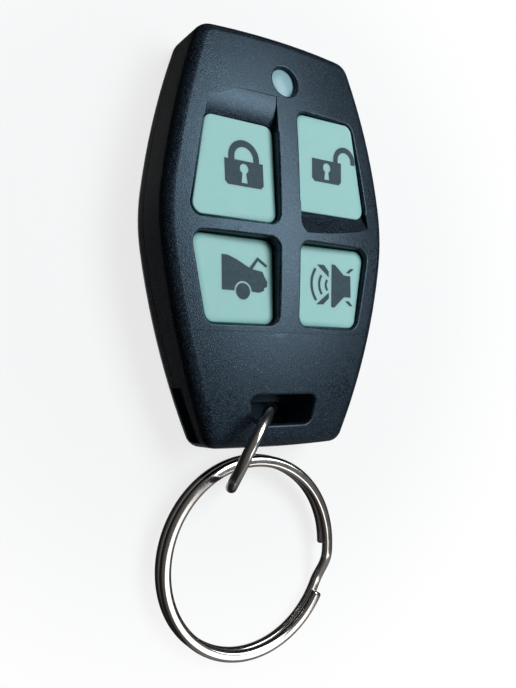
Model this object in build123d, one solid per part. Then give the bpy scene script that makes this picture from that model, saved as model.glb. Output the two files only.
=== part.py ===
from build123d import *
import math
import os

# Car alarm key fob with four rubber keys, a jump ring and a split ring. Millimetres.
# The fob lies on its back: X right, Y towards the lamp end, Z out of the face.
# The origin is on the back face, halfway along the case.

# Case outline, a long hexagon with bowed sides
case_length = 58.5
widest_y = 2.0
widest_half = 19.3
lamp_end_half = 12.9
ring_end_half = 11.35
side_bow_radius = 109.0
end_bow_radius = 290.0
waist_round = 30.0
lamp_corner_round = 2.8
ring_corner_round = 2.3

# Case section
case_thickness = 11.4
crown_y = 5.0
crown_long_radius = 181.0
crown_cross_radius = 118.0
face_edge_round = 1.7
back_edge_round = 2.2
parting_z = 3.4
wall = 1.7
ceiling = 1.5
floor_thickness = 1.0
lip_height = 1.0
lip_thickness = 0.85
lip_clearance = 0.07
seam_depth = 0.25
seam_height = 0.15

# Ring slot and the bar below it
bar_width = 2.95
slot_length = 4.2
slot_top_half = 5.75
slot_bottom_half = 4.9
slot_top_round = 1.0
slot_bottom_round = 1.5
slot_wall = 1.65
bar_inner_round = 2.0
bar_outer_round = 1.0
bar_clearance = 0.03
back_notch_half = 5.9
back_notch_past_slot = 1.1
back_notch_round = 2.0
ring_floor_length = 2.5
ring_floor_thickness = 1.0
ring_floor_slope_length = 1.25
ring_floor_edge = 0.35
coin_notch_from_end = 4.45
coin_notch_length = 7.6
coin_notch_depth = 1.15
coin_notch_low = 2.4
coin_notch_high = 5.1

# Key openings in the face
keys_from_lamp_end = 10.4
keys_from_ring_end = 16.8
upright_half = 1.8
bridge_y = 0.725
bridge_half = 0.975
upper_side_margin = 3.63
upper_lean = 0.183
lower_side_margin = 3.95
lower_lean = 0.193
opening_round = 1.6
rim_round = 0.3
collar_wall = 0.8
collar_z = 8.3

# Ramps that lead a finger to the lock key from above and to the unlock key from below
lock_ramp_length = 2.8
shoulder_past_key = 4.1
shoulder_radius = 7.5
shoulder_sink = 0.03
shoulder_tilt = -1.8
shoulder_past_corner = 1.1
shoulder_corner_round = 0.25
shoulder_side_step = 0.05
unlock_ramp_length = 2.6
scoop_radius = 13.0
scoop_z = 8.87
scoop_past_key = 4.45
scoop_tilt = -1.2
scoop_overrun = 0.8
scoop_corner_round = 2.0

# Keys
key_gap = 0.13
key_travel = 0.3
key_edge_round = 0.18
key_flange = 0.7
flange_low_z = 7.4
flange_high_z = 8.1
lower_key_top = 9.4
lock_key_low_end = 10.5
lock_key_high_end = 9.75
unlock_key_low_end = 9.85
unlock_key_high_end = 10.2
nub_radius = 1.5
web_low_z = 7.25
web_high_z = 7.85
web_gap = 0.15
web_margin = 0.4

# Lamp
lamp_from_end = 6.49
lamp_hole_radius = 2.15
lamp_gap = 0.08
lamp_depth = 0.55
lamp_dome = 0.3
lens_flange_radius = 2.8
lens_flange_thickness = 0.7
lens_stem_radius = 1.6
lens_stem_low_z = 7.2
led_radius = 1.5
led_height = 1.0

# Engraved line under the keys
line_below_keys = 1.05
line_half = 14.7
line_width = 0.25
line_depth = 0.15

# Circuit board and what stands on it
board_low_z = 4.7
board_thickness = 0.8
board_margin = 0.55
post_radius = 1.2
lamp_post_x = 9.5
lamp_post_from_end = 7.45
ring_post_x = 8.5
ring_post_from_end = 12.95
switch_size = 4.6
switch_height = 1.4
switch_round = 0.4
plunger_radius = 1.2
plunger_foot_radius = 1.6
plunger_foot_height = 0.35
plunger_stand = 0.35
plunger_clearance = 0.05
nub_clearance = 0.02

chip_length = 1.6
chip_width = 0.8
resistor_height = 0.5
capacitor_height = 0.8
control_chip_from_end = 12.85
radio_can_from_end = 8.65
chips_inside_row = 0.95
chips_pitch = 7.2

# Coin cell and its contacts
cell_radius = 10.0
cell_height = 3.2
cell_cap_inset = 1.2
cell_edge_round = 0.3
cell_cap_height = 0.3
cell_y = 2.0
strip_thickness = 0.2
clip_width = 5.0
clip_side_gap = 0.5
clip_foot = 2.0
clip_bend = 0.5
contact_length = 12.0
contact_width = 3.0
contact_thickness = 0.15
cradle_gap = 0.25
cradle_wall = 0.75
cradle_height = 2.0

# Aerial wire under the board
aerial_wire_radius = 0.4
aerial_half = 6.5
aerial_from_end = 5.65
aerial_length = 9.2
aerial_drop = 0.9

# Jump ring, threaded through the slot and round the bar
jump_radius = 6.2
jump_wire_radius = 0.8
jump_slit = 0.08
jump_x = -3.83
jump_past_end = 0.24
jump_normal = (0.723, -0.463, 0.512)
jump_slit_turn = 215.0
table_gap = 0.02

# Split ring, two flat turns joined by a crank
split_radius = 13.99
split_turn_width = 1.7
split_turn_height = 1.22
split_turn_gap = 0.06
split_edge_round = 0.42
split_x = -1.83
split_past_end = 16.38
split_tilt = 3.8
crank_start = -25.0
crank_angle = 20.0
crank_end_gap = 2.5

lamp_end = case_length / 2
ring_end = -case_length / 2
end_bow = end_bow_radius - math.sqrt(end_bow_radius ** 2 - ring_end_half ** 2)
slot_low_y = ring_end + bar_width
slot_top_y = slot_low_y + slot_length
upper_row_low_y = bridge_y + bridge_half
upper_row_high_y = lamp_end - keys_from_lamp_end
lower_row_low_y = ring_end + keys_from_ring_end
lower_row_high_y = bridge_y - bridge_half
upper_outer_x = widest_half - upper_side_margin
lower_outer_x = widest_half - lower_side_margin
lock_high_y = upper_row_high_y - lock_ramp_length
unlock_low_y = upper_row_low_y + unlock_ramp_length
lamp_y = lamp_end - lamp_from_end
line_y = lower_row_low_y - line_below_keys
board_top_z = board_low_z + board_thickness
post_places = []
for side in (-1, 1):
    post_places.append((side * lamp_post_x, lamp_end - lamp_post_from_end))
    post_places.append((side * ring_post_x, ring_end + ring_post_from_end))
key_names = ["lock", "unlock", "boot", "alarm"]


def slab(face, low, high):
    """A flat shape raised from one height to another."""
    return extrude(Pos(0, 0, low) * face, high - low)


def block(x_low, x_high, y_low, y_high, z_low, z_high):
    middle = Pos((x_low + x_high) / 2, (y_low + y_high) / 2, (z_low + z_high) / 2)
    return middle * Box(x_high - x_low, y_high - y_low, z_high - z_low)


def post(x, y, radius, low, high):
    return Pos(x, y, (low + high) / 2) * Cylinder(radius, high - low)


def round_pair(face, y, radius):
    """Round the two corners of a flat shape that lie nearest to a level."""
    return fillet(face.vertices().sort_by(lambda corner: abs(corner.Y - y))[:2], radius)


def bow_centre(start, end, radius):
    """Centre of the arc that bulges to the right of the way from start to end."""
    run_x = end[0] - start[0]
    run_y = end[1] - start[1]
    chord = math.hypot(run_x, run_y)
    back = math.sqrt(radius ** 2 - chord ** 2 / 4) / chord
    return (start[0] + end[0]) / 2 - run_y * back, (start[1] + end[1]) / 2 + run_x * back


def outline(inset):
    """The case seen from above, less a margin all round."""
    corners = [
        (-ring_end_half, ring_end),
        (ring_end_half, ring_end),
        (widest_half, widest_y),
        (lamp_end_half, lamp_end),
        (-lamp_end_half, lamp_end),
        (-widest_half, widest_y),
    ]
    radii = [end_bow_radius, side_bow_radius, side_bow_radius] * 2
    face = Rectangle(3 * widest_half, 2 * case_length)
    for i in range(6):
        x, y = bow_centre(corners[i], corners[(i + 1) % 6], radii[i])
        face &= Pos(x, y) * Circle(radii[i] - inset)
    face = round_pair(face, ring_end, ring_corner_round - inset)
    face = round_pair(face, widest_y, waist_round - inset)
    return round_pair(face, lamp_end, lamp_corner_round - inset)


def crown(lowered):
    """Everything below the case's domed face, or below a face lowered into it."""
    reach = widest_half + 6
    top = case_thickness - lowered
    edge = top - crown_cross_radius + math.sqrt(crown_cross_radius ** 2 - reach ** 2)
    foot = -5.0
    sides = Polyline((-reach, crown_y, edge), (-reach, crown_y, foot), (reach, crown_y, foot), (reach, crown_y, edge))
    arc = ThreePointArc((reach, crown_y, edge), (0, crown_y, top), (-reach, crown_y, edge))
    section = make_face(sides.edges() + arc.edges())
    axis = Axis((0, crown_y, case_thickness - crown_long_radius), (1, 0, 0))
    half_turn = math.degrees((case_length / 2 + abs(crown_y) + 4) / crown_long_radius)
    return revolve(section.rotate(axis, -half_turn), axis, 2 * half_turn)


def face_z(x, y):
    """Height of the domed face over a point."""
    along = crown_long_radius - math.sqrt(crown_long_radius ** 2 - (y - crown_y) ** 2)
    across = crown_cross_radius - math.sqrt(crown_cross_radius ** 2 - x ** 2)
    return case_thickness - along - across


def room(inset):
    """The outline less a margin all round, and short of the solid end round the slot."""
    low = slot_top_y + slot_wall + inset - wall
    window = Pos(0, (low + lamp_end) / 2) * Rectangle(3 * widest_half, lamp_end - low)
    return outline(inset) & window


def case_blank():
    blank = extrude(outline(0), case_thickness + 1) & crown(0)
    rim = [e for e in blank.edges() if e.center().Z > case_thickness / 2 and abs(e.tangent_at(0.5).Z) < 0.9]
    blank = fillet(rim, face_edge_round)
    back = [e for e in blank.edges() if abs(e.center().Z) < 0.001]
    return fillet(back, back_edge_round)


def trapezoid(side, low, high, outer_x, outer_y, lean, round_radius):
    """Outline of a key opening: upright inner side, leaning outer side."""
    at_low = outer_x - lean * (low - outer_y)
    at_high = outer_x - lean * (high - outer_y)
    points = [(upright_half, low), (at_low, low), (at_high, high), (upright_half, high)]
    face = make_face(Polyline([(side * x, y) for x, y in points], close=True))
    return fillet(face.vertices(), round_radius)


def upper_cell(side, low, high, round_radius):
    return trapezoid(side, low, high, upper_outer_x, upper_row_low_y, upper_lean, round_radius)


def lower_cell(side):
    return trapezoid(
        side, lower_row_low_y, lower_row_high_y, lower_outer_x, lower_row_high_y, -lower_lean, opening_round
    )


openings = {
    "lock": upper_cell(-1, upper_row_low_y, lock_high_y, opening_round),
    "unlock": upper_cell(1, unlock_low_y, upper_row_high_y, opening_round),
    "boot": lower_cell(-1),
    "alarm": lower_cell(1),
}
hollows = {
    "lock": upper_cell(-1, upper_row_low_y, upper_row_high_y, opening_round),
    "unlock": upper_cell(1, upper_row_low_y - scoop_overrun, upper_row_high_y, scoop_corner_round),
}
key_places = {}
for name, opening in openings.items():
    spot = opening.center()
    key_places[name] = (spot.X, spot.Y)


def key_top_tool(name):
    """Space above a key: what the key's sloping top leaves free."""
    ends = {
        "lock": (upper_row_low_y, lock_key_low_end, lock_high_y, lock_key_high_end),
        "unlock": (unlock_low_y, unlock_key_low_end, upper_row_high_y, unlock_key_high_end),
        "boot": (lower_row_low_y, lower_key_top, lower_row_high_y, lower_key_top),
        "alarm": (lower_row_low_y, lower_key_top, lower_row_high_y, lower_key_top),
    }
    low_y, low_z, high_y, high_z = ends[name]
    slope = (high_z - low_z) / (high_y - low_y)
    start = low_y - 5
    end = high_y + 5
    start_z = low_z - 5 * slope
    end_z = high_z + 5 * slope
    side_view = Polyline(
        (0, start, start_z), (0, end, end_z), (0, end, start_z + 10), (0, start, start_z + 10), close=True
    )
    face = make_face(side_view)
    reach = widest_half + 2
    return Pos(-reach, 0, 0) * extrude(face, 2 * reach, dir=(1, 0, 0))


def shoulder_tool():
    """Ramp above the lock key: the face rolls off over a rounded shoulder down to the key."""
    x = key_places["lock"][0]
    y = lock_high_y + shoulder_past_key
    lean = (y - crown_y) / crown_long_radius
    past_axis = shoulder_radius * math.sin(lean)
    axis_z = face_z(x, y) - shoulder_radius * math.cos(lean) - shoulder_sink
    reach = 2 * widest_half
    width = shoulder_radius + past_axis
    space = Pos(0, past_axis - width / 2, shoulder_radius) * Box(reach, width, 2 * shoulder_radius)
    space -= Rot(0, 90, 0) * Cylinder(shoulder_radius, reach + 1)
    space = Pos(x, y - past_axis, axis_z) * Rot(0, shoulder_tilt, 0) * space
    outline = upper_cell(-1, lock_high_y - shoulder_past_corner, y + opening_round, shoulder_corner_round)
    return slab(offset(outline, shoulder_side_step), collar_z, case_thickness + 1) & space


def scoop_tool():
    """Ramp below the unlock key: a hollow scooped from the face down to the key."""
    x = key_places["unlock"][0]
    reach = 2 * widest_half
    scoop = Rot(0, 90, 0) * Cylinder(scoop_radius, reach)
    above = Pos(0, 0, scoop_radius) * Box(reach, 2 * scoop_radius, 2 * scoop_radius)
    middle = Pos(x, unlock_low_y + scoop_past_key, scoop_z + scoop_radius)
    scoop = middle * Rot(0, scoop_tilt, 0) * (scoop + above)
    return slab(hollows["unlock"], collar_z, case_thickness + 1) & scoop


def face_rims(shell, y_low, y_high):
    """Edges that openings leave in the domed face between two levels."""
    rims = []
    for edge in shell.edges():
        points = [edge.position_at(share) for share in (0.1, 0.5, 0.9)]
        on_face = all(abs(point.Z - face_z(point.X, point.Y)) < 0.02 for point in points)
        away_from_side = abs(points[1].X) < widest_half - 2 * face_edge_round
        if on_face and away_from_side and y_low < points[1].Y < y_high:
            rims.append(edge)
    return rims


def slot_outline():
    points = [
        (-slot_bottom_half, slot_low_y),
        (slot_bottom_half, slot_low_y),
        (slot_top_half, slot_top_y),
        (-slot_top_half, slot_top_y),
    ]
    face = make_face(Polyline(points, close=True))
    face = round_pair(face, slot_low_y, slot_bottom_round)
    return round_pair(face, slot_top_y, slot_top_round)


def bar_rounding(edge_y, inward, radius):
    """What is cut off along one lower edge of the bar to round it."""
    near_y, far_y = sorted([edge_y, edge_y + inward * radius])
    corner = block(-slot_bottom_half, slot_bottom_half, near_y, far_y, parting_z, parting_z + radius)
    barrel = Pos(0, edge_y + inward * radius, parting_z + radius) * Rot(0, 90, 0) * Cylinder(
        radius, 2 * slot_bottom_half + 1
    )
    return corner - barrel


def coin_notch():
    """Notch in the left side at the seam, for a coin that prises the case open."""
    band = outline(-1) - outline(coin_notch_depth)
    window = Pos(-widest_half, ring_end + coin_notch_from_end) * Rectangle(widest_half, coin_notch_length)
    return slab(band & window, coin_notch_low, coin_notch_high)


def front_shell(blank):
    reach = case_length
    shell = blank & block(-reach, reach, -reach, reach, parting_z, case_thickness + 1)
    shell -= slab(room(wall), parting_z - 1, case_thickness + 1) & crown(ceiling)
    shell -= slab(room(wall - lip_thickness), parting_z - 1, parting_z + lip_height + 0.1)
    collars = [slab(offset(opening, collar_wall), collar_z, case_thickness) for opening in openings.values()]
    collars += [slab(offset(hollow, collar_wall), collar_z, case_thickness) for hollow in hollows.values()]
    under_face = crown(ceiling / 2)
    for collar in collars:
        shell += collar & under_face
    for opening in openings.values():
        shell -= slab(opening, parting_z, case_thickness + 1)
    for x, y in post_places:
        shell += post(x, y, post_radius, board_top_z, face_z(x, y) - ceiling / 2)
    shell -= post(0, lamp_y, lamp_hole_radius, parting_z, case_thickness + 1)
    shell -= slab(slot_outline(), parting_z - 1, case_thickness + 1)
    shell = fillet(face_rims(shell, slot_low_y - 0.1, slot_top_y + 0.1), rim_round)
    shell = fillet(face_rims(shell, lower_row_low_y - 0.1, lamp_y + lamp_hole_radius), rim_round)
    shell -= shoulder_tool()
    shell -= scoop_tool()
    shell -= bar_rounding(slot_low_y, -1, bar_inner_round)
    shell -= bar_rounding(ring_end - end_bow - bar_clearance, 1, bar_outer_round)
    shell -= coin_notch()
    shell -= slab(outline(-1) - outline(seam_depth), parting_z, parting_z + seam_height)
    line = Pos(0, line_y) * Rectangle(2 * line_half, line_width)
    shell -= slab(line, parting_z, case_thickness + 1) - crown(line_depth)
    return shell


def back_notch(top_y, low_z, high_z):
    """Notch in the back, open at the ring end, that lets the jump ring round the bar."""
    low_y = ring_end - 3
    middle = Pos(0, (top_y + low_y) / 2)
    return slab(middle * RectangleRounded(2 * back_notch_half, top_y - low_y, back_notch_round), low_z, high_z)


def rear_shell(blank):
    reach = case_length
    shell = blank & block(-reach, reach, -reach, reach, -1, parting_z)
    shell += slab(room(wall - lip_thickness + lip_clearance), floor_thickness, parting_z + lip_height)
    shell -= slab(room(wall), floor_thickness, parting_z + lip_height + 1)
    for x, y in post_places:
        shell += post(x, y, post_radius, floor_thickness / 2, board_low_z)
    cradle_inner = cell_radius + cradle_gap
    cradle = Pos(0, cell_y) * (Circle(cradle_inner + cradle_wall) - Circle(cradle_inner))
    cradle -= Pos(0, cell_y) * Rectangle(4 * cell_radius, clip_width + 1.4)
    cradle -= Pos(0, cell_y) * Rectangle(clip_width + 1.4, 4 * cell_radius)
    shell += slab(cradle, floor_thickness / 2, floor_thickness + cradle_height)
    notch_top = slot_top_y - back_notch_past_slot
    shell -= back_notch(notch_top, ring_floor_thickness, parting_z + lip_height + 1)
    slope_y = notch_top - ring_floor_length
    edge_y = slope_y - ring_floor_slope_length
    shell -= back_notch(edge_y, -1, ring_floor_thickness + 1)
    slope = Polyline(
        (0, slope_y, ring_floor_thickness), (0, edge_y, ring_floor_edge), (0, edge_y, ring_floor_thickness + 1),
        (0, slope_y, ring_floor_thickness + 1), close=True
    )
    shell -= Pos(-back_notch_half, 0, 0) * extrude(make_face(slope), 2 * back_notch_half, dir=(1, 0, 0))
    return shell - coin_notch()


def key(name):
    outline_top = offset(openings[name], -key_gap)
    cap = slab(outline_top, flange_low_z, case_thickness + 1) - key_top_tool(name)
    rim = [e for e in cap.edges() if e.center().Z > flange_high_z + 0.5 and abs(e.tangent_at(0.5).Z) < 0.9]
    cap = fillet(rim, key_edge_round)
    flange = slab(offset(outline_top, key_flange), flange_low_z, flange_high_z)
    x, y = key_places[name]
    plunger_top = board_top_z + switch_height + plunger_stand
    nub = post(x, y, nub_radius, plunger_top + nub_clearance, flange_low_z + 0.2)
    return cap + flange + nub


def keypad_web():
    area = room(wall + web_margin)
    low = lower_row_low_y - 2.0
    high = upper_row_high_y + 1.8
    area &= Pos(0, (low + high) / 2) * Rectangle(3 * widest_half, high - low)
    web = slab(area, web_low_z, web_high_z)
    for opening in openings.values():
        web -= slab(offset(opening, key_flange - key_gap + web_gap), web_low_z - 1, web_high_z + 1)
    return web - post(0, lamp_y, lens_flange_radius + web_gap, web_low_z - 1, web_high_z + 1)


def lamp_lens():
    head = lamp_hole_radius - lamp_gap
    top = face_z(0, lamp_y) - lamp_depth
    flange_high = face_z(0, lamp_y + lens_flange_radius) - ceiling - 0.1
    flange_low = flange_high - lens_flange_thickness
    lens = post(0, lamp_y, lens_stem_radius, lens_stem_low_z, flange_high)
    lens += post(0, lamp_y, lens_flange_radius, flange_low, flange_high)
    dome_radius = (head ** 2 + lamp_dome ** 2) / (2 * lamp_dome)
    dome = Pos(0, lamp_y, top - dome_radius) * Sphere(dome_radius)
    return lens + (post(0, lamp_y, head, flange_low, top + 1) & dome)


def indicator_led():
    base = post(0, lamp_y, led_radius, board_top_z, board_top_z + led_height)
    top = Pos(0, lamp_y, board_top_z + led_height - 0.9) * Sphere(led_radius)
    return base + (top & block(-3, 3, lamp_y - 3, lamp_y + 3, board_top_z + 0.2, board_top_z + 3))


def board_area():
    return room(wall + board_margin)


def switch_body(x, y):
    body = Pos(x, y, board_top_z + switch_height / 2) * Box(switch_size, switch_size, switch_height)
    body = chamfer(body.edges().filter_by(Axis.Z), switch_round)
    room = plunger_foot_radius + plunger_clearance
    foot_high = board_top_z + switch_height - 0.3
    foot_low = foot_high - plunger_foot_height - key_travel - 0.1
    body -= post(x, y, room, foot_low, foot_high)
    return body - post(x, y, plunger_radius + plunger_clearance, foot_low, board_top_z + switch_height + 1)


def switch_plunger(x, y):
    foot_high = board_top_z + switch_height - 0.3 - plunger_clearance
    foot = post(x, y, plunger_foot_radius, foot_high - plunger_foot_height, foot_high)
    stem_top = board_top_z + switch_height + plunger_stand
    return foot + post(x, y, plunger_radius, foot_high - 0.1, stem_top)


def coin_cell():
    low = floor_thickness + strip_thickness
    can_top = low + cell_height - cell_cap_height
    cap_top = low + cell_height
    cap_radius = cell_radius - cell_cap_inset
    points = [
        (0, low), (cell_radius, low), (cell_radius, can_top), (cap_radius, can_top),
        (cap_radius, cap_top), (0, cap_top),
    ]
    section = make_face(Polyline(points, close=True))
    rounded = [v for v in section.vertices() if abs(v.X - cell_radius) < 0.01]
    section = Plane.XZ * fillet(rounded, cell_edge_round)
    return Pos(0, cell_y, 0) * revolve(section, Axis.Z)


def battery_clip():
    inner = cell_radius + clip_side_gap
    outer = inner + strip_thickness
    height = 2 * board_low_z
    middle = floor_thickness + height / 2
    loop = Pos(0, middle) * RectangleRounded(2 * outer, height, clip_bend)
    loop -= Pos(0, middle + strip_thickness) * RectangleRounded(2 * inner, height, clip_bend - strip_thickness)
    loop &= Pos(0, board_low_z / 2) * Rectangle(4 * outer, board_low_z)
    foot_middle = inner + clip_foot / 2
    for side in (-1, 1):
        loop += Pos(side * foot_middle, board_low_z - strip_thickness / 2) * Rectangle(clip_foot, strip_thickness)
    strip = extrude(Plane.XZ * loop, clip_width / 2, both=True)
    return Pos(0, cell_y, 0) * strip


def battery_contact():
    cell_top = floor_thickness + strip_thickness + cell_height
    half = contact_length / 2
    low_ends = board_low_z - contact_thickness
    lower = ThreePointArc((-half, low_ends), (0, cell_top), (half, low_ends))
    upper = ThreePointArc((half, board_low_z), (0, cell_top + contact_thickness), (-half, board_low_z))
    ends = [Line((half, low_ends), (half, board_low_z)), Line((-half, board_low_z), (-half, low_ends))]
    leaf = make_face([lower.edge(), ends[0].edge(), upper.edge(), ends[1].edge()])
    return Pos(0, cell_y, 0) * extrude(Plane.XZ * leaf, contact_width / 2, both=True)


def control_chip():
    y = ring_end + control_chip_from_end
    body = Pos(0, y, board_top_z + 0.85) * Box(5.0, 3.9, 1.4)
    body = chamfer(body.faces().sort_by(Axis.Z)[-1].edges(), 0.2)
    for column in range(4):
        x = -1.905 + 1.27 * column
        body += Pos(x, y, board_top_z + 0.1) * Box(0.4, 5.4, 0.2)
    return body


def radio_can():
    can = Pos(-5.0, lamp_end - radio_can_from_end, board_top_z + 0.7) * Box(3.8, 3.8, 1.4)
    return fillet(can.edges().filter_by(Axis.Z) + can.faces().sort_by(Axis.Z)[-1].edges(), 0.4)


def crystal():
    can = Pos(4.9, ring_end + control_chip_from_end, board_top_z + 0.5) * Box(2.0, 3.2, 1.0)
    return fillet(can.edges().filter_by(Axis.Z), 0.5)


def chip(y, height):
    """A chip resistor or capacitor on the board's middle line."""
    return Pos(0, y, board_top_z + height / 2) * Box(chip_length, chip_width, height)


def aerial():
    level = board_low_z - aerial_drop
    high_y = lamp_end - aerial_from_end
    low_y = high_y - aerial_length
    points = [
        (-aerial_half, low_y, board_low_z),
        (-aerial_half, low_y, level),
        (-aerial_half, high_y, level),
        (aerial_half, high_y, level),
        (aerial_half, low_y, level),
        (aerial_half, low_y, board_low_z),
    ]
    path = FilletPolyline(points, radius=0.45)
    start = Plane(origin=points[0], z_dir=(0, 0, -1))
    return sweep(start * Circle(aerial_wire_radius), path)


def jump_ring():
    normal = Vector(*jump_normal).normalized()
    slope = math.sqrt(1 - normal.Z ** 2)
    height = jump_radius * slope + jump_wire_radius + table_gap
    centre = Vector(jump_x, ring_end - jump_past_end, height)
    level_way = Vector(-normal.Y, normal.X, 0).normalized()
    plane = Plane(origin=centre, x_dir=level_way, z_dir=normal)
    slit_angle = math.degrees(jump_slit / jump_radius)
    wire = Plane.XZ * Pos(jump_radius, 0) * Circle(jump_wire_radius)
    hoop = revolve(wire, Axis.Z, 360 - slit_angle)
    return plane * (Rot(0, 0, jump_slit_turn) * hoop)


def turn_section(angle, height):
    """The wire's section at one angle round the split ring."""
    wire = Pos(split_radius, height) * RectangleRounded(split_turn_width, split_turn_height, split_edge_round)
    return Rot(0, 0, angle) * (Plane.XZ * wire)


def split_ring():
    """Two flat turns of wire, one on the other, joined by a crank."""
    level = (split_turn_height + split_turn_gap) / 2
    coil_angle = 360 - crank_angle - 2 * crank_end_gap
    lower = revolve(turn_section(0, -level), Axis.Z, coil_angle)
    upper = revolve(turn_section(0, level), Axis.Z, coil_angle)
    after_crank = crank_start + crank_angle
    lower = Rot(0, 0, crank_start - coil_angle) * lower
    upper = Rot(0, 0, after_crank) * upper
    steps = 6
    sections = []
    for i in range(steps + 1):
        share = i / steps
        height = -level * math.cos(math.pi * share)
        sections.append(turn_section(crank_start + crank_angle * share, height))
    crank = loft([section.face() for section in sections])
    ring = lower + crank + upper
    half_height = split_turn_height + split_turn_gap / 2
    rise = half_height * math.cos(math.radians(split_tilt))
    rise += (split_radius + split_turn_width / 2) * math.sin(math.radians(split_tilt))
    return Pos(split_x, ring_end - split_past_end, rise + table_gap) * Rot(split_tilt, 0, 0) * ring


blank = case_blank()
nodes = {
    "front_shell": front_shell(blank),
    "rear_shell": rear_shell(blank),
    "keypad_web": keypad_web(),
    "lamp_lens": lamp_lens(),
    "indicator_led": indicator_led(),
    "circuit_board": slab(board_area(), board_low_z, board_top_z),
    "coin_cell": coin_cell(),
    "battery_clip": battery_clip(),
    "battery_contact": battery_contact(),
    "control_chip": control_chip(),
    "radio_can": radio_can(),
    "crystal": crystal(),
    "aerial": aerial(),
    "jump_ring": jump_ring(),
    "split_ring": split_ring(),
}
for name in key_names:
    x, y = key_places[name]
    nodes["key_" + name] = key(name)
    nodes["switch_body_" + name] = switch_body(x, y)
    nodes["switch_plunger_" + name] = switch_plunger(x, y)
for row in range(4):
    y = lower_row_low_y + chips_inside_row + row * chips_pitch
    nodes["resistor_" + str(row + 1)] = chip(y, resistor_height)
    nodes["capacitor_" + str(row + 1)] = chip(y + chips_pitch / 2, capacitor_height)

os.makedirs("parts", exist_ok=True)
for name, shape in nodes.items():
    export_step(shape, "parts/" + name + ".step")
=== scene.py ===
import math

import bmesh
import bpy
from mathutils import Euler, Matrix, Vector


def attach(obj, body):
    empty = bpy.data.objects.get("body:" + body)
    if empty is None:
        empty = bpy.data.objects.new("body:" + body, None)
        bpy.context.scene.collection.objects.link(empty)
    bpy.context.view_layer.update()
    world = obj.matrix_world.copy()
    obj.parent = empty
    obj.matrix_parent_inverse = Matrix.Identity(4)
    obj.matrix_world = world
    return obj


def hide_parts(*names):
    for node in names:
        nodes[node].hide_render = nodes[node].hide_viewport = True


# Looks of the car alarm key fob: grained black case, pale green keys with printed signs,
# a milky lamp lens and two polished key rings. Lengths are in millimetres, turned into metres by MM.

MM = 0.001

# Camera, matched to the photograph. Its lens and the photograph's height are in pixels.
camera_place = (-58.08, -21.04, 89.74)
camera_turn = (4.096, -33.587, -0.977)
camera_near = 10.0
lens_in_pixels = 700.0
photo_height = 688.0
sensor = 36.0

# Window, high on the right
window = {
    "place": (225.0, 122.0, 435.0),
    "aim": (0.0, 2.0, 0.0),
    "width": 420.0,
    "height": 240.0,
    "power": 2.3,
    "colour": (0.86, 0.95, 1.0),
}

# Small light that falls on the two rings alone
ring_light = {
    "place": (190.0, -250.0, 360.0),
    "aim": (0.0, -45.0, 0.0),
    "width": 150.0,
    "height": 200.0,
    "power": 0.22,
    "colour": (1.0, 0.99, 0.97),
}

# Dim room, as brightness at the horizon and overhead
room_low = 0.015
room_high = 0.13
room_colour = (1.0, 0.97, 0.93)

# White paper that shiny parts reflect: direction, cosines at its faded edge and at its full part, share
paper_patches = [
    ((0.25, 0.1, -1.0), 0.8, 1.0, 0.5),
    ((0.5, -0.84, 0.1), 0.66, 0.92, 0.2),
]

# Floor under the fob, and how its shadow fades outwards
floor_half = 500.0
floor_drop = 0.05
floor_colour = (0.93, 0.93, 0.93)
floor_roughness = 0.9
shadow_share = 0.22
shadow_full_within = 35.0
shadow_gone_beyond = 75.0

# Split ring, as wire wound twice round
wire_radius = 13.99
wire_width = 1.7
wire_height = 1.22
wire_round = 0.58
wire_round_steps = 6
wire_turn_gap = 0.06
wire_end_round = 0.38
wire_end_steps = 4
wire_weld = 0.001
crank_start = -25.0
crank_angle = 20.0
crank_steps = 12
turn_angle = 335.0
turn_steps = 150
split_ring_place = (-1.83, -45.63, 2.2508)
split_ring_tilt = 3.8

# Values between which the noise of every finish mostly lies
noise_low = 0.3
noise_high = 0.7

# Lines along which a point feels for walls that shut it in
shelter_samples = 12

# Case: dark valleys of the grain, whose high points are painted pale as painted sparkle
grain_size = 0.14
grain_detail = 1.0
grain_depth = 0.03
sparkle_tips_start = 0.52
sparkle_tips_full = 0.66
valley_colour = (0.001, 0.004, 0.01)
tip_painted_sparkle_colour = (0.062, 0.08, 0.102)
case_gloss_tint = (0.55, 0.80, 1.0)
case_patch = 7.0
case_roughness = (0.26, 0.32)

# Recesses of the case get painted shade: how far their walls shade, how shut in and how open a point
# can be, and how far a face has to turn up before the painted shade reaches it at all and in full
recess_reach = 8.0
recess_shut = 0.1
recess_open = 0.45
recess_upward_least = 0.3
recess_upward_full = 0.6
recess_painted_shade_colour = (0.001, 0.002, 0.003)
recess_roughness = 0.8

# Keys, whose rim next to their openings is darkened with painted shade. Glow is the share of light
# that soaks in, how far each colour goes, and its depth. Texture is the size and the depth of fine bumps.
key_green = ((0.40, 0.71, 0.665), (0.43, 0.75, 0.70))
key_patch = 4.0
key_rim_painted_shade_colour = (0.14, 0.36, 0.35)
key_rim_reach = 1.1
key_rim_shut = 0.6
key_rim_open = 0.98
key_roughness = (0.5, 0.6)
key_roughness_patch = 0.3
key_glow = (0.8, (0.7, 1.0, 0.95), 1.0)
key_texture = (0.25, 0.01)

# Lamp lens
lens_green = ((0.285, 0.49, 0.53), (0.325, 0.54, 0.59))
lens_patch = 2.0
lens_roughness = (0.28, 0.36)
lens_roughness_patch = 0.5
lens_glow = (0.5, (0.8, 1.0, 1.0), 0.8)
lens_texture = (0.3, 0.005)

# Ink of the signs
ink_slate = ((0.036, 0.068, 0.085), (0.048, 0.085, 0.103))
ink_patch = 1.2
ink_gloss = 0.2
ink_roughness = (0.5, 0.65)
ink_roughness_patch = 0.4
ink_texture = (0.2, 0.006)

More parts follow.
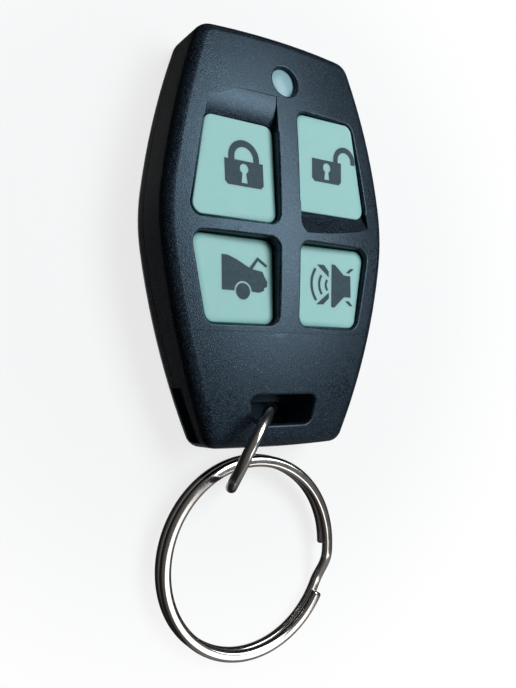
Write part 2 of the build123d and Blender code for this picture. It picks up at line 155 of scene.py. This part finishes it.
# Metals: stained colour, bright colour, least roughness, depth of the rubbed places
metal_finishes = {
    "plated_strip": ((0.5, 0.48, 0.44), (0.62, 0.60, 0.55), 0.22, 0.004),
    "ring_chrome": ((0.62, 0.60, 0.58), (0.74, 0.73, 0.72), 0.15, 0.004),
    "ring_nickel": ((0.55, 0.52, 0.50), (0.66, 0.64, 0.62), 0.11, 0.005),
    "aerial_copper": ((0.6, 0.33, 0.2), (0.80, 0.45, 0.28), 0.25, 0.004),
}
metal_patch = 3.0
metal_roughness_patch = 1.5
metal_roughness_detail = 4.0
metal_roughness_factor = 1.5
metal_rub_size = 2.5
metal_rub_detail = 1.0

# Mouldings inside the case: two near colours, least roughness
moulding_finishes = {
    "black_resin": ((0.012, 0.012, 0.012), (0.02, 0.02, 0.02), 0.4),
    "board_mask": ((0.01, 0.11, 0.04), (0.015, 0.16, 0.06), 0.3),
    "led_epoxy": ((0.6, 0.6, 0.55), (0.7, 0.7, 0.65), 0.2),
    "plunger_plastic": ((0.35, 0.05, 0.03), (0.45, 0.07, 0.04), 0.4),
    "capacitor_ceramic": ((0.30, 0.20, 0.11), (0.38, 0.26, 0.15), 0.4),
}
moulding_patch = 1.5
moulding_roughness_patch = 0.8
moulding_roughness_rise = 0.1
moulding_texture = (0.3, 0.005)

# Printed signs
ink_thickness = 0.03
ink_weld = 0.01
above_keys = 50.0
key_names = ["lock", "unlock", "boot", "alarm"]

# Padlocks: left, right, low and high side of the body; middle, radius and width of the shackle
lock_body = (-10.1, -3.85, 6.5, 10.1)
unlock_body = (5.0, 10.5, 9.3, 12.65)
lock_shackle = (-6.95, 10.55, 2.5, 0.95)
unlock_shackle = (11.15, 13.1, 2.1, 0.8)
unlock_shackle_drop = 0.35
padlock_chamfer = 0.45
keyhole_radius = 0.72
keyhole_slot_top = 0.34
keyhole_slot_low = 0.5
keyhole_drop = 1.1
keyhole_foot = 0.45

# Car with its boot open
car_body = [
    (-10.3, -3.0), (-9.4, -3.02), (-8.0, -3.5), (-5.85, -4.55), (-5.3, -4.72), (-3.7, -4.95), (-3.35, -5.7),
    (-2.95, -6.3), (-3.0, -7.0), (-3.45, -7.2), (-3.55, -7.6), (-4.4, -7.9), (-10.3, -7.8),
]
car_lid = [(-5.85, -4.5), (-4.5, -2.95), (-2.9, -3.98), (-3.12, -4.28), (-4.45, -3.42), (-5.35, -4.68)]
wheel_centre = (-6.95, -7.85)
wheel_radius = 1.12
wheel_arch_radius = 1.42

# Speaker, with its sound as arcs (radius, half angle, width) and bars
speaker = [
    (8.85, -2.8), (9.5, -2.85), (11.15, -4.3), (12.45, -4.35),
    (12.4, -7.6), (11.1, -7.6), (9.2, -9.25), (8.6, -9.25),
]
sound_centre = (8.75, -6.0)
sound_arcs = [(1.3, 42.0, 0.34), (2.55, 36.0, 0.36), (4.0, 38.0, 0.4)]
bars = [
    [(6.1, -3.05), (7.35, -3.0), (8.2, -3.9), (8.2, -4.75)],
    [(5.8, -8.95), (7.05, -8.9), (8.15, -7.95), (8.15, -7.15)],
    [(11.65, -3.85), (12.5, -3.2), (13.15, -3.2), (12.2, -3.9)],
    [(11.35, -8.2), (12.05, -8.2), (12.75, -8.9), (12.2, -8.9)],
]


def arc(x, y, radius, start, end, steps=24):
    """Points along an arc, angles in degrees."""
    points = []
    for i in range(steps + 1):
        angle = math.radians(start + (end - start) * i / steps)
        points.append((x + radius * math.cos(angle), y + radius * math.sin(angle)))
    return points


def disc(x, y, radius, corners=36):
    """A whole circle, as a closed line."""
    return arc(x, y, radius, 0, 360 - 360 / corners, corners - 1)


def band(x, y, radius, width, start, end):
    """An arc with a width, as a closed line."""
    return arc(x, y, radius, start, end) + arc(x, y, radius - width, end, start)


def padlock_parts(body):
    """Body with its two lower corners cut, and its keyhole."""
    left, right, low, high = body
    middle = (left + right) / 2
    outside = [
        (left, high), (right, high), (right, low + padlock_chamfer), (right - padlock_chamfer, low),
        (left + padlock_chamfer, low), (left, low + padlock_chamfer),
    ]
    hole_y = high - keyhole_drop
    turn = math.degrees(math.acos(keyhole_slot_top / keyhole_radius))
    slot_y = low + keyhole_foot
    hole = arc(middle, hole_y, keyhole_radius, -turn, 180 + turn)
    hole += [(middle - keyhole_slot_low, slot_y), (middle + keyhole_slot_low, slot_y)]
    return [outside, hole]


def padlock_sign(body, shackle, right_foot):
    """Padlock whose shackle stands on the body at its left and ends at a given height at its right."""
    x, y, radius, width = shackle
    left_foot = body[3]
    inside = radius - width
    outer = [(x + radius, right_foot)] + arc(x, y, radius, 0, 180) + [(x - radius, left_foot)]
    inner = [(x - inside, left_foot)] + arc(x, y, inside, 180, 0) + [(x + inside, right_foot)]
    return [padlock_parts(body), [outer + inner]]


def boot_sign():
    """Car seen from the side, with its boot lid up."""
    x, y = wheel_centre
    sill = car_body[-1][1]
    rise = math.degrees(math.asin((sill - y) / wheel_arch_radius))
    arch = arc(x, y, wheel_arch_radius, rise, 180 - rise)
    return [[car_body[:-1] + arch + car_body[-1:]], [car_lid], [disc(x, y, wheel_radius)]]


def alarm_sign():
    """Speaker that sounds."""
    x, y = sound_centre
    waves = [[band(x, y, radius, width, 180 - half, 180 + half)] for radius, half, width in sound_arcs]
    return [[speaker]] + waves + [[bar] for bar in bars]


def flat_plate(name, outlines):
    """A flat mesh in the XY plane from closed lines: the first is the edge, the rest are holes."""
    curve = bpy.data.curves.new(name, "CURVE")
    curve.dimensions = "2D"
    curve.fill_mode = "BOTH"
    for points in outlines:
        spline = curve.splines.new("POLY")
        spline.points.add(len(points) - 1)
        for point, (x, y) in zip(spline.points, points):
            point.co = (x * MM, y * MM, 0, 1)
        spline.use_cyclic_u = True
    holder = bpy.data.objects.new(name, curve)
    bpy.context.collection.objects.link(holder)
    mesh = bpy.data.meshes.new_from_object(holder)
    bpy.data.objects.remove(holder)
    return mesh


def as_object(name, mesh, material):
    """A finished mesh becomes a piece of one material."""
    data = bpy.data.meshes.new(name)
    mesh.to_mesh(data)
    mesh.free()
    data.materials.append(material)
    piece = bpy.data.objects.new(name, data)
    bpy.context.collection.objects.link(piece)
    return piece


def key_top(key, x, y):
    """Height of a key's top over a point, all in metres."""
    found = key.ray_cast(Vector((x, y, above_keys * MM)), Vector((0, 0, -1)))
    return found[1].z


def printed_sign(name, shapes, key, ink):
    """Ink on a key: thin plates that lie on the key's sloping top."""
    mesh = bmesh.new()
    for outlines in shapes:
        plate = flat_plate(name + "_plate", outlines)
        mesh.from_mesh(plate)
        bpy.data.meshes.remove(plate)
    bmesh.ops.remove_doubles(mesh, verts=mesh.verts, dist=ink_weld * MM)
    middle = sum(vertex.co.x for vertex in mesh.verts) / len(mesh.verts)
    low = min(vertex.co.y for vertex in mesh.verts)
    high = max(vertex.co.y for vertex in mesh.verts)
    start = key_top(key, middle, low)
    slope = (key_top(key, middle, high) - start) / (high - low)
    for vertex in mesh.verts:
        vertex.co.z = start + slope * (vertex.co.y - low)
    sheet = bmesh.ops.extrude_face_region(mesh, geom=mesh.faces[:])
    raised = [part for part in sheet["geom"] if isinstance(part, bmesh.types.BMVert)]
    bmesh.ops.translate(mesh, verts=raised, vec=(0, 0, ink_thickness * MM))
    bmesh.ops.recalc_face_normals(mesh, faces=mesh.faces)
    return as_object(name, mesh, ink)


def turned(angle, axis):
    return Matrix.Rotation(math.radians(angle), 3, axis)


def wire_section(mesh):
    """The wire's cut end, a rectangle with round corners, upright where the lower turn begins."""
    bmesh.ops.create_grid(mesh, x_segments=1, y_segments=1, size=0.5)
    bmesh.ops.scale(mesh, verts=mesh.verts, vec=(wire_width, wire_height, 1))
    bmesh.ops.bevel(mesh, geom=mesh.verts[:], affect="VERTICES", offset=wire_round,
                    segments=wire_round_steps, profile=0.5, material=-1)
    bmesh.ops.rotate(mesh, verts=mesh.verts, matrix=turned(90, "X"))
    lower_turn = -(wire_height + wire_turn_gap) / 2
    bmesh.ops.translate(mesh, verts=mesh.verts, vec=(wire_radius, 0, lower_turn))
    bmesh.ops.rotate(mesh, verts=mesh.verts, matrix=turned(crank_start - turn_angle, "Z"))
    return mesh.faces[:]


def wind(mesh, tip, angle, steps, rise):
    """Draw the wire's end round the ring's middle, and up."""
    turn = bmesh.ops.spin(mesh, geom=tip, cent=(0, 0, 0), axis=(0, 0, 1), dvec=(0, 0, rise),
                          angle=math.radians(angle), steps=steps)
    return turn["geom_last"]


def key_ring_wire(metal):
    """The split ring's wire: rounded section, two turns, a crank between them, blunt rounded ends."""
    mesh = bmesh.new()
    tip = wind(mesh, wire_section(mesh), turn_angle, turn_steps, 0)
    half_rise = (wire_height + wire_turn_gap) / 2
    # The crank climbs to the upper turn in a soft S
    for i in range(crank_steps):
        rise = math.cos(math.pi * i / crank_steps) - math.cos(math.pi * (i + 1) / crank_steps)
        tip = wind(mesh, tip, crank_angle / crank_steps, 1, rise * half_rise)
    wind(mesh, tip, turn_angle, turn_steps, 0)
    bmesh.ops.remove_doubles(mesh, verts=mesh.verts, dist=wire_weld)
    # Only the two cut ends have more than four corners
    ends = [edge for face in mesh.faces if len(face.verts) > 4 for edge in face.edges]
    bmesh.ops.bevel(mesh, geom=ends, affect="EDGES", offset=wire_end_round, segments=wire_end_steps,
                    profile=0.5, material=-1, clamp_overlap=True)
    bmesh.ops.recalc_face_normals(mesh, faces=mesh.faces)
    for face in mesh.faces:
        face.smooth = True
    bmesh.ops.rotate(mesh, verts=mesh.verts, matrix=turned(split_ring_tilt, "X"))
    bmesh.ops.translate(mesh, verts=mesh.verts, vec=split_ring_place)
    bmesh.ops.scale(mesh, verts=mesh.verts, vec=(MM, MM, MM))
    return as_object("split_ring_wire", mesh, metal)


class Nodes:
    """A node tree that is built up one node at a time."""

    def __init__(self, tree):
        self.tree = tree

    def add(self, kind, **settings):
        node = self.tree.nodes.new(kind)
        for name, value in settings.items():
            setattr(node, name, value)
        return node

    def feed(self, socket, value):
        """Link a socket to an output, or set it to a number, a direction or a colour."""
        if isinstance(value, bpy.types.NodeSocket):
            self.tree.links.new(value, socket)
        elif socket.type == "RGBA":
            socket.default_value = (*value, 1)
        else:
            socket.default_value = value

    def span(self, value, low, high, to_low, to_high, interpolation="LINEAR"):
        """A value's range from low to high, carried over to another range and held there."""
        node = self.add("ShaderNodeMapRange", interpolation_type=interpolation)
        self.feed(node.inputs["Value"], value)
        self.feed(node.inputs["From Min"], low)
        self.feed(node.inputs["From Max"], high)
        self.feed(node.inputs["To Min"], to_low)
        self.feed(node.inputs["To Max"], to_high)
        return node.outputs["Result"]

    def reckon(self, operation, first, second):
        """A sum, a product or the larger of two shares, held between 0 and 1."""
        node = self.add("ShaderNodeMath", operation=operation, use_clamp=True)
        self.feed(node.inputs[0], first)
        self.feed(node.inputs[1], second)
        return node.outputs["Value"]

    def mix(self, share, under, over):
        """One colour with a share of another."""
        node = self.add("ShaderNodeMix", data_type="RGBA")
        self.feed(node.inputs["Factor"], share)
        self.feed(node.inputs["A"], under)
        self.feed(node.inputs["B"], over)
        return node.outputs["Result"]

    def cover(self, share, under, over):
        """One surface or background with a share of another."""
        node = self.add("ShaderNodeMixShader")
        self.feed(node.inputs[0], share)
        self.feed(node.inputs[1], under)
        self.feed(node.inputs[2], over)
        return node.outputs["Shader"]


class Finish(Nodes):
    """The material of one finish."""

    def __init__(self, name):
        self.material = bpy.data.materials.new(name)
        self.material.use_nodes = True
        super().__init__(self.material.node_tree)
        self.surface = self.tree.nodes["Principled BSDF"]
        coordinates = self.add("ShaderNodeTexCoord")
        self.place = coordinates.outputs["Object"]
        self.facing = coordinates.outputs["Normal"]

    def give(self, name, value):
        self.feed(self.surface.inputs[name], value)

    def noise(self, size, detail=2.0):
        """Noise whose lumps are about the given size."""
        node = self.add("ShaderNodeTexNoise")
        self.feed(node.inputs["Vector"], self.place)
        self.feed(node.inputs["Scale"], 1 / (size * MM))
        self.feed(node.inputs["Detail"], detail)
        return node.outputs["Fac"]

    def drift(self, size, low, high, detail=2.0):
        """A value that goes from low to high and back in patches of about the given size."""
        return self.span(self.noise(size, detail), noise_low, noise_high, low, high)

    def openness(self, reach, shut, opened):
        """0 where walls within reach shut a point in, 1 where it lies open."""
        node = self.add("ShaderNodeAmbientOcclusion", samples=shelter_samples)
        self.feed(node.inputs["Distance"], reach * MM)
        return self.span(node.outputs["AO"], shut, opened, 0.0, 1.0)

    def glow(self, share, radius, depth):
        """Light that soaks in and comes out further on."""
        self.give("Subsurface Weight", share)
        self.give("Subsurface Radius", radius)
        self.give("Subsurface Scale", depth * MM)

    def bump(self, height, depth):
        node = self.add("ShaderNodeBump")
        self.feed(node.inputs["Strength"], 1.0)
        self.feed(node.inputs["Distance"], depth * MM)
        self.feed(node.inputs["Height"], height)
        self.give("Normal", node.outputs["Normal"])

    def texture(self, size, depth):
        self.bump(self.noise(size), depth)


def case_plastic():
    """Black moulding with a fine spark-eroded grain and painted sparkle, dull and in painted shade deep in
    recesses that face up.
    """
    finish = Finish("case_plastic")
    grain = finish.noise(grain_size, grain_detail)
    # Painted sparkle: the high points of the grain are painted paler than its valleys
    painted_sparkle_tips = finish.span(grain, sparkle_tips_start, sparkle_tips_full, 0.0, 1.0)
    shade = finish.mix(painted_sparkle_tips, valley_colour, tip_painted_sparkle_colour)
    # Painted shade: deep in recesses that face up, the base colour turns near black
    upward = finish.add("ShaderNodeSeparateXYZ")
    finish.feed(upward.inputs["Vector"], finish.facing)
    steep = finish.span(upward.outputs["Z"], recess_upward_least, recess_upward_full, 1.0, 0.0)
    lit = finish.reckon("MAXIMUM", finish.openness(recess_reach, recess_shut, recess_open), steep)
    finish.give("Base Color", finish.mix(lit, recess_painted_shade_colour, shade))
    sheen = finish.drift(case_patch, *case_roughness)
    finish.give("Roughness", finish.span(lit, 0.0, 1.0, recess_roughness, sheen))
    finish.give("Specular Tint", case_gloss_tint)
    finish.bump(grain, grain_depth)
    return finish.material


def key_rubber():
    """Pale green rubber that lets a little light through, with painted shade along the rim of its opening.
    """
    finish = Finish("key_rubber")
    pale = finish.mix(finish.noise(key_patch), *key_green)
    # Painted shade: the base colour darkens next to the walls of the key's opening
    lit = finish.openness(key_rim_reach, key_rim_shut, key_rim_open)
    finish.give("Base Color", finish.mix(lit, key_rim_painted_shade_colour, pale))
    finish.give("Roughness", finish.drift(key_roughness_patch, *key_roughness))
    finish.glow(*key_glow)
    finish.texture(*key_texture)
    return finish.material


def lens_plastic():
    """Milky pale green lens."""
    finish = Finish("lens_plastic")
    finish.give("Base Color", finish.mix(finish.noise(lens_patch), *lens_green))
    finish.give("Roughness", finish.drift(lens_roughness_patch, *lens_roughness))
    finish.glow(*lens_glow)
    finish.texture(*lens_texture)
    return finish.material


def sign_ink():
    """Slate grey ink, a little worn."""
    finish = Finish("sign_ink")
    finish.give("Base Color", finish.mix(finish.noise(ink_patch), *ink_slate))
    finish.give("Roughness", finish.drift(ink_roughness_patch, *ink_roughness))
    finish.give("Specular IOR Level", ink_gloss)
    finish.texture(*ink_texture)
    return finish.material


def polished_metal(name, stained, bright, roughness, rub_depth):
    """Bright metal with faint stains, dull patches and rubbed places."""
    finish = Finish(name)
    finish.give("Base Color", finish.mix(finish.noise(metal_patch), stained, bright))
    finish.give("Metallic", 1.0)
    dullest = roughness * metal_roughness_factor
    dullness = finish.drift(metal_roughness_patch, roughness, dullest, metal_roughness_detail)
    finish.give("Roughness", dullness)
    finish.bump(finish.noise(metal_rub_size, metal_rub_detail), rub_depth)
    return finish.material


def plain_moulding(name, first, second, roughness):
    """Resin, plastic or ceramic, faintly mottled."""
    finish = Finish(name)
    finish.give("Base Color", finish.mix(finish.noise(moulding_patch), first, second))
    dullest = roughness + moulding_roughness_rise
    finish.give("Roughness", finish.drift(moulding_roughness_patch, roughness, dullest))
    finish.texture(*moulding_texture)
    return finish.material


def dress(nodes, names, material):
    """Give a material to pieces of the frame."""
    for name in names:
        mesh = nodes[name].data
        mesh.materials.clear()
        mesh.materials.append(material)


def area_light(name, place, aim, width, height, power, colour):
    data = bpy.data.lights.new(name, "AREA")
    data.shape = "RECTANGLE"
    data.size = width * MM
    data.size_y = height * MM
    data.energy = power
    data.color = colour
    light = bpy.data.objects.new(name, data)
    bpy.context.collection.objects.link(light)
    toward = Vector(aim) - Vector(place)
    light.location = Vector(place) * MM
    light.rotation_euler = toward.to_track_quat("-Z", "Y").to_euler()
    return light


def light_the_scene(rings):
    """A window on everything, and a small light on the rings."""
    area_light("window", **window)
    light = area_light("ring_light", **ring_light)
    lit = bpy.data.collections.new("lit_by_ring_light")
    for ring in rings:
        lit.objects.link(ring)
    light.light_linking.receiver_collection = lit


def white_surroundings():
    """The camera sees plain white, shiny parts see white paper in places, and the rest is a dim room."""
    world = bpy.data.worlds.new("surroundings")
    bpy.context.scene.world = world
    world.use_nodes = True
    sky = Nodes(world.node_tree)
    direction = sky.add("ShaderNodeTexCoord").outputs["Generated"]

    def brightening(toward, edge, full, low, high):
        """Brightness that rises smoothly towards one direction."""
        closeness = sky.add("ShaderNodeVectorMath", operation="DOT_PRODUCT")
        sky.feed(closeness.inputs[0], direction)
        sky.feed(closeness.inputs[1], Vector(toward).normalized())
        return sky.span(closeness.outputs["Value"], edge, full, low, high, "SMOOTHSTEP")

    room = sky.tree.nodes["Background"]
    sky.feed(room.inputs["Color"], room_colour)
    sky.feed(room.inputs["Strength"], brightening((0, 0, 1), 0.0, 1.0, room_low, room_high))
    white = sky.add("ShaderNodeBackground")
    sky.feed(white.inputs["Color"], (1, 1, 1))
    paper = 0.0
    for toward, edge, full, share in paper_patches:
        paper = sky.reckon("MAXIMUM", brightening(toward, edge, full, 0.0, share), paper)
    rays = sky.add("ShaderNodeLightPath")
    shiny = sky.reckon("ADD", rays.outputs["Is Glossy Ray"], rays.outputs["Is Transmission Ray"])
    whiteness = sky.reckon("ADD", rays.outputs["Is Camera Ray"], sky.reckon("MULTIPLY", shiny, paper))
    seen = sky.cover(whiteness, room.outputs["Background"], white.outputs["Background"])
    sky.feed(sky.tree.nodes["World Output"].inputs["Surface"], seen)


def pale_floor():
    """Pale floor with the fob's soft shadow, through which the white shows, and clear from below."""
    finish = Finish("pale_floor")
    finish.give("Base Color", floor_colour)
    finish.give("Roughness", floor_roughness)
    finish.give("Specular IOR Level", 0.0)
    distance = finish.add("ShaderNodeVectorMath", operation="LENGTH")
    finish.feed(distance.inputs[0], finish.place)
    clearness = finish.span(distance.outputs["Value"], shadow_full_within * MM, shadow_gone_beyond * MM,
                            1 - shadow_share, 1.0, "SMOOTHSTEP")
    rays = finish.add("ShaderNodeLightPath")
    see_through = finish.reckon("MULTIPLY", clearness, rays.outputs["Is Camera Ray"])
    clear = finish.add("ShaderNodeBsdfTransparent").outputs["BSDF"]
    above = finish.cover(see_through, finish.surface.outputs["BSDF"], clear)
    below = finish.add("ShaderNodeNewGeometry").outputs["Backfacing"]
    finish.feed(finish.tree.nodes["Material Output"].inputs["Surface"], finish.cover(below, above, clear))
    mesh = bmesh.new()
    bmesh.ops.create_grid(mesh, x_segments=1, y_segments=1, size=floor_half * MM)
    bmesh.ops.translate(mesh, verts=mesh.verts, vec=(0, 0, -floor_drop * MM))
    floor = as_object("floor", mesh, finish.material)
    floor.visible_glossy = False
    floor.visible_diffuse = False


def place_camera():
    data = bpy.data.cameras.new("camera")
    data.sensor_width = sensor
    data.lens = lens_in_pixels / photo_height * sensor
    data.clip_start = camera_near * MM
    camera = bpy.data.objects.new("camera", data)
    bpy.context.collection.objects.link(camera)
    camera.location = Vector(camera_place) * MM
    camera.rotation_euler = Euler([math.radians(angle) for angle in camera_turn], "XYZ")
    bpy.context.scene.camera = camera


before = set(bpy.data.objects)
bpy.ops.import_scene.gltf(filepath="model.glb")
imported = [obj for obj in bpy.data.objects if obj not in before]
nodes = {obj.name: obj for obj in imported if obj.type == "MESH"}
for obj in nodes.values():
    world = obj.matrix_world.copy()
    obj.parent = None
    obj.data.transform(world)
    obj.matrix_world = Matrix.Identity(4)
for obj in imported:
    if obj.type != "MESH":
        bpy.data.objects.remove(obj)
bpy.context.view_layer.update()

rubber = key_rubber()
ink = sign_ink()
metals = {name: polished_metal(name, *values) for name, values in metal_finishes.items()}
mouldings = {name: plain_moulding(name, *values) for name, values in moulding_finishes.items()}

dress(nodes, ["front_shell", "rear_shell"], case_plastic())
dress(nodes, ["key_" + name for name in key_names] + ["keypad_web"], rubber)
dress(nodes, ["lamp_lens"], lens_plastic())
dress(nodes, ["jump_ring"], metals["ring_chrome"])
dress(nodes, ["split_ring"], metals["ring_nickel"])
dress(nodes, ["coin_cell", "battery_clip", "battery_contact"], metals["plated_strip"])
dress(nodes, ["radio_can", "crystal"], metals["plated_strip"])
dress(nodes, ["aerial"], metals["aerial_copper"])
dress(nodes, ["circuit_board"], mouldings["board_mask"])
dress(nodes, ["indicator_led"], mouldings["led_epoxy"])
dress(nodes, ["control_chip"], mouldings["black_resin"])
dress(nodes, ["switch_body_" + name for name in key_names], mouldings["black_resin"])
dress(nodes, ["switch_plunger_" + name for name in key_names], mouldings["plunger_plastic"])
dress(nodes, ["resistor_" + str(i) for i in range(1, 5)], mouldings["black_resin"])
dress(nodes, ["capacitor_" + str(i) for i in range(1, 5)], mouldings["capacitor_ceramic"])

signs = {
    "lock": padlock_sign(lock_body, lock_shackle, lock_body[3]),
    "unlock": padlock_sign(unlock_body, unlock_shackle, unlock_shackle[1] - unlock_shackle_drop),
    "boot": boot_sign(),
    "alarm": alarm_sign(),
}
for name, shapes in signs.items():
    piece = printed_sign("sign_" + name, shapes, nodes["key_" + name], ink)
    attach(piece, "key_" + name)

wire = key_ring_wire(metals["ring_nickel"])
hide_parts("split_ring")
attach(wire, "split_ring")

light_the_scene([nodes["jump_ring"], wire])
white_surroundings()
pale_floor()
place_camera()
bpy.context.scene.view_settings.view_transform = "Standard"
